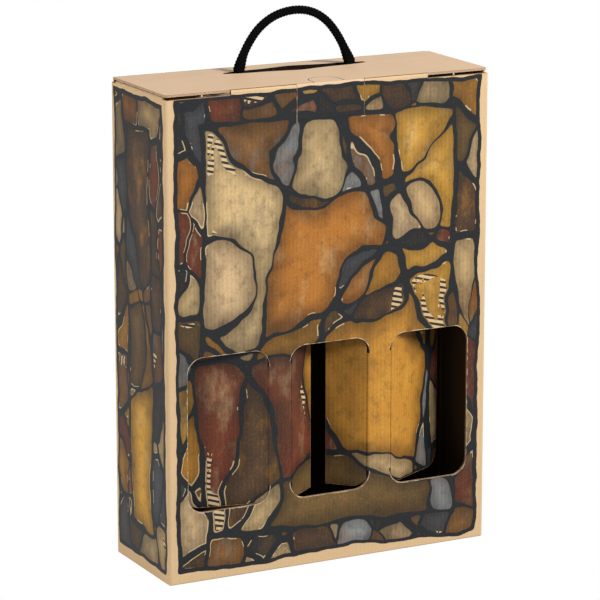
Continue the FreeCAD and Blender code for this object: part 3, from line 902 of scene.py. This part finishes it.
lid_paths = []
for side in (-1, 1):
    slit_end = SIDE_FACE - SLIT_LENGTH + CUT_PLAY
    outline = ((slit_end, LID_FRONT), (LID_SIDE, LID_FRONT), (LID_SIDE, TUCK_FOLD))
    line = rounded_path([(side * x, y, LID_MIDDLE) for x, y in outline], LID_CORNER)
    lid_paths.append((line, -UPRIGHT, SIDE_TO_SIDE))
lean = Matrix.Rotation(math.radians(-TUCK_LEAN), 3, "X")
fold = Vector((0, TUCK_FOLD, LID_UNDERSIDE))
tuck_top = LID_UNDERSIDE - TUCK_START
tuck_tip = LID_UNDERSIDE - TUCK_LENGTH
outline = ((-TUCK_SIDE, tuck_top), (-TUCK_SIDE, tuck_tip), (TUCK_SIDE, tuck_tip), (TUCK_SIDE, tuck_top))
tuck = rounded_path([(x, TUCK_FOLD + BOARD / 2, z) for x, z in outline], TUCK_CORNER)
lid_paths.append(([fold + lean @ (point - fold) for point in tuck], lean @ -FRONT_TO_BACK, SIDE_TO_SIDE))
dress("lid", lid_finish())
fluted_edges("lid_cut_edges", "lid_panel", lid_paths)

# Lock tongue
# A tongue cut in the front's top edge, printed with the front. Its nose is bent back into a cut in the lid.


def tongue_finish():
    """The tongue: printed in front, with a bare nose, and painted shade on its cut sides and its back."""
    finish = Finish("printed_tongue_board")
    x, y, z = finish.place()
    facing_x, facing_y, facing_z = finish.place("Normal")
    bare, height = paper(finish, x, z + y, LID_KRAFT)
    inked, colour = print_on(finish, x, z, SIDE_FACE - abs(x), bare)
    outer = facing_y.under(-ALONG) * y.under(FRONT_FACE + TINY)
    nose_side = y.over(FRONT_INSIDE + TINY) * abs(facing_z).under(ASIDE)
    # Cut sides get painted shade, and the back a light painted shade
    cut = abs(facing_x).over(ASIDE).most(nose_side)
    inside = (facing_y.over(ALONG) * y.under(FRONT_INSIDE + TINY)).most(facing_z.under(-ALONG))
    return board_surface(finish, (x, z), inked * outer, colour, bare, height, inside, cut)


tongue_paths = []
for side in (-1, 1):
    x = side * TONGUE_HALF
    tongue_paths.append(([(x, FRONT_MIDDLE, TONGUE_FOOT + BOARD), (x, FRONT_MIDDLE, LID_UNDERSIDE)],
                         FRONT_TO_BACK, SIDE_TO_SIDE))
dress("lock_tongue", tongue_finish())
fluted_edges("lock_tongue_cut_edges", "tongue", tongue_paths)

# Handle cord
# A finely braided black cord whose two ends go down through the slot. Each ends in a moulded bar that lies
# across under the lid, and between them the cord stands in a free arch.
CORD_ROUTE = (
    (-0.0480, 0.0000), (-0.0452, 0.0110), (-0.0395, 0.0226), (-0.0306, 0.0342), (-0.0180, 0.0426),
    (-0.0022, 0.0463), (0.0136, 0.0446), (0.0266, 0.0370), (0.0360, 0.0256), (0.0432, 0.0126),
    (0.0484, 0.0000),
)
STRANDS_EACH_WAY = 6
BRAID_PITCH = 0.0156
BRAID_RADIUS = 0.00238
BRAID_RISE = 0.00060
STRAND_HALF_WIDTH = 0.00096
STRAND_HALF_DEPTH = 0.00042
STRAND_STEP = 0.00026
STRAND_SIDES = 6
CORE_RADIUS = 0.0021
CORE_SIDES = 12
FLARE = 0.50
FLARE_STARTS = (0.0010, 0.0030)
FLARE_ENDS = (0.0032, 0.0190)
YARN_DARK = linear(5, 5, 6)
YARN_LIT = linear(15, 15, 16)
YARN_DUST = linear(26, 25, 24)


def cord_points():
    """The middle line of the cord, a smooth curve led by the points of its route."""
    route = bpy.data.curves.new("cord_route", "CURVE")
    route.dimensions = "3D"
    route.resolution_u = 24
    line = route.splines.new("NURBS")
    line.points.add(len(CORD_ROUTE) - 1)
    for point, (x, up) in zip(line.points, CORD_ROUTE):
        point.co = (HANDLE_OFFSET + x, SLOT_LINE, LID_UNDERSIDE + up, 1.0)
    line.order_u = 3
    line.use_endpoint_u = True
    carrier = bpy.data.objects.new("cord_route", route)
    bpy.context.collection.objects.link(carrier)
    bpy.context.view_layer.update()
    mesh = bpy.data.meshes.new_from_object(carrier)
    points = [vertex.co.copy() for vertex in mesh.vertices]
    bpy.data.objects.remove(carrier)
    return points


cord_path = cord_points()


def braid_tree():
    """Flat strands wound both ways round a path, each over one and under the next, on a core."""
    tree = Tree("braided cord")
    radius = tree.asks("Braid radius")
    pitch = tree.asks("Pitch")
    rise = tree.asks("Rise")
    half_width = tree.asks("Strand half width")
    half_depth = tree.asks("Strand half depth")
    core = tree.asks("Core radius")
    material = tree.asks("Material", "NodeSocketMaterial")
    curve = tree.node("GeometryNodeMeshToCurve", sockets={0: tree.geometry()})
    fine = tree.stepped(curve, STRAND_STEP)
    tangent = tree.node("GeometryNodeInputTangent")
    along = tree.node("GeometryNodeSplineParameter", output="Length")
    share = tree.node("GeometryNodeSplineParameter", output="Factor")
    captured = tree.tree.nodes.new("GeometryNodeCaptureAttribute")
    captured.capture_items.new("VECTOR", "tangent")
    captured.capture_items.new("FLOAT", "along")
    captured.capture_items.new("FLOAT", "share")
    tree.tree.links.new(fine.socket, captured.inputs["Geometry"])
    for value, name in ((tangent, "tangent"), (along, "along"), (share, "share")):
        tree.tree.links.new(value.socket, captured.inputs[name])
    tangent, along, share = [Value(tree, captured.outputs[name]) for name in ("tangent", "along", "share")]
    geometry = Value(tree, captured.outputs["Geometry"])
    copies = tree.tree.nodes.new("GeometryNodeDuplicateElements")
    copies.domain = "SPLINE"
    copies.inputs["Amount"].default_value = 2 * STRANDS_EACH_WAY
    tree.tree.links.new(geometry.socket, copies.inputs["Geometry"])
    number = Value(tree, copies.outputs["Duplicate Index"])
    strands = Value(tree, copies.outputs["Geometry"])
    way = number.under(STRANDS_EACH_WAY - 0.5) * 2.0 - 1.0
    winding = along / pitch * (2 * math.pi)
    angle = way * winding + number * (2 * math.pi / STRANDS_EACH_WAY)
    wave = (winding * STRANDS_EACH_WAY).math("COSINE") * way * rise
    spread = flare(along, share)
    sideways = tuple(FRONT_TO_BACK)
    out = tree.vector("NORMALIZE", tree.vector("CROSS_PRODUCT", sideways, tangent))
    radial = tree.vector("ADD", tree.scaled(out, angle.math("COSINE")), tree.scaled(sideways, angle.sine()))
    moved = tree.moved(strands, tree.scaled(radial, radius * spread + wave))
    turned = tree.node("GeometryNodeSetCurveNormal", {"mode": "FREE"}, {"Curve": moved, "Normal": radial})
    kept = tree.labelled(turned, "along_strand", along)
    x, y, z = tree.parts(tree.node("GeometryNodeInputPosition"))
    flat = tree.node("GeometryNodeSetPosition", sockets={
        "Geometry": tree.circle(STRAND_SIDES, 1.0),
        "Position": tree.point(x * half_depth, y * half_width, z)})
    flat = tree.labelled(flat, "across_strand", y)
    braid = tree.node("GeometryNodeCurveToMesh", sockets={
        "Curve": kept, "Profile Curve": flat, "Fill Caps": True})
    tree.ends([tree.swept(curve, CORE_SIDES, core), braid], material)
    return tree


def flare(along, share):
    """How much wider the braid is where it spreads on the lid, near either end."""
    from_end = (along / share.most(0.001) * (1.0 - share)).least(along)
    opened = from_end.eased(*FLARE_STARTS) * (1.0 - from_end.eased(*FLARE_ENDS))
    return opened * FLARE + 1.0


def cord_finish():
    """Black polyester yarn: fine filaments run along each strand."""
    finish = Finish("braided_black_yarn")
    along = finish.node("ShaderNodeAttribute", {"attribute_name": "along_strand"}, output="Fac")
    across = finish.node("ShaderNodeAttribute", {"attribute_name": "across_strand"}, output="Fac")
    spot = finish.point(*finish.place())
    yarn = finish.noise(finish.point(along * 60.0, across * 3.4), 1.6)
    fuzz = finish.noise(spot, 2400.0)
    dust = finish.noise(spot, 160.0)
    lit = finish.mix(yarn.eased(0.35, 0.75), YARN_DARK, YARN_LIT)
    colour = finish.mix(dust.eased(0.5, 0.85) * 0.25, lit, YARN_DUST)
    roughness = yarn * 0.2 + 0.70
    height = yarn * 0.00010 + fuzz * 0.00003
    return finish.surface(colour, roughness, height, {"Specular IOR Level": 0.1})


cord = braid_tree().applied("handle_cord_braid", edge_lines("cord_path", [(cord_path, UPRIGHT, UPRIGHT)]), {
    "Braid radius": BRAID_RADIUS, "Pitch": BRAID_PITCH, "Rise": BRAID_RISE,
    "Strand half width": STRAND_HALF_WIDTH, "Strand half depth": STRAND_HALF_DEPTH,
    "Core radius": CORE_RADIUS, "Material": cord_finish()})
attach(cord, "lid_panel")
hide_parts("handle_cord")


def bar_finish():
    """Black moulded nylon, with the fine grain of its mould."""
    finish = Finish("black_moulded_nylon")
    x, y, z = finish.place()
    grain = finish.noise(finish.point(x, y, z), 1800.0)
    flow = finish.noise(finish.point(x * 0.3, y, z), 240.0)
    colour = finish.mix(flow.eased(0.4, 0.7), linear(20, 20, 21), linear(30, 30, 31))
    return finish.surface(colour, grain * 0.2 + 0.38, grain * 0.00002 + flow * 0.00003)


nylon = bar_finish()
dress("cord_bar_left", nylon)
dress("cord_bar_right", nylon)

# Camera and light
TARGET = Vector((-0.0011, 0.0, 0.1945))
AZIMUTH = math.radians(-27.37)
ELEVATION = math.radians(13.483)
DISTANCE = 2.4565
LENS = 193.48
LAMP_TARGET = Vector((0, 0, 0.18))
LAMPS = (
    ("key", (1.1, -2.1, 1.95), 1.0, 90.0),
    ("side", (-2.5, 0.2, 0.36), 1.4, 42.0),
    ("back", (1.2, 2.4, 0.40), 1.4, 34.0),
)
SKY = 0.25
FLOOR_HALF = 6
floor_corners = [(FLOOR_HALF * x, FLOOR_HALF * y, 0) for x, y in ((-1, -1), (1, -1), (1, 1), (-1, 1))]
floor_mesh = bpy.data.meshes.new("floor")
floor_mesh.from_pydata(floor_corners, [], [(0, 1, 2, 3)])
floor = bpy.data.objects.new("floor", floor_mesh)
bpy.context.collection.objects.link(floor)


def floor_finish():
    """A floor that is plain white to the camera, and grey to the light that it throws back."""
    finish = Finish("white_floor")
    matt = finish.node("ShaderNodeBsdfDiffuse", sockets={"Color": (0.35, 0.35, 0.35, 1.0)})
    light = finish.node("ShaderNodeEmission", sockets={"Color": (1.0, 1.0, 1.0, 1.0), "Strength": 1.0})
    seen = finish.node("ShaderNodeLightPath", output="Is Camera Ray")
    mirrored = finish.node("ShaderNodeLightPath", output="Is Glossy Ray")
    through = finish.node("ShaderNodeLightPath", output="Is Transmission Ray")
    share = seen.most(mirrored).most(through)
    shader = finish.node("ShaderNodeMixShader", sockets={0: share, 1: matt, 2: light})
    finish.node("ShaderNodeOutputMaterial", sockets={"Surface": shader})
    return finish.material


floor_mesh.materials.append(floor_finish())

camera_data = bpy.data.cameras.new("camera")
camera = bpy.data.objects.new("camera", camera_data)
bpy.context.collection.objects.link(camera)
bpy.context.scene.camera = camera
camera_data.sensor_width = 36.0
camera_data.lens = LENS
camera_data.clip_end = 40.0
level = math.cos(ELEVATION)
from_target = Vector((math.sin(AZIMUTH) * level, -math.cos(AZIMUTH) * level, math.sin(ELEVATION)))
camera.location = TARGET + from_target * DISTANCE
camera.rotation_euler = (-from_target).to_track_quat("-Z", "Y").to_euler()

world = bpy.data.worlds.new("studio")
bpy.context.scene.world = world
world.use_nodes = True
sky = world.node_tree.nodes["Background"]
sky.inputs["Color"].default_value = (1, 1, 1, 1)
sky.inputs["Strength"].default_value = SKY
for name, place, size, energy in LAMPS:
    lamp_data = bpy.data.lights.new(name, "AREA")
    lamp_data.size = size
    lamp_data.energy = energy
    lamp = bpy.data.objects.new(name, lamp_data)
    bpy.context.collection.objects.link(lamp)
    lamp.location = place
    lamp.visible_camera = False
    lamp.rotation_euler = (LAMP_TARGET - lamp.location).to_track_quat("-Z", "Y").to_euler()
bpy.context.scene.view_settings.view_transform = "Standard"
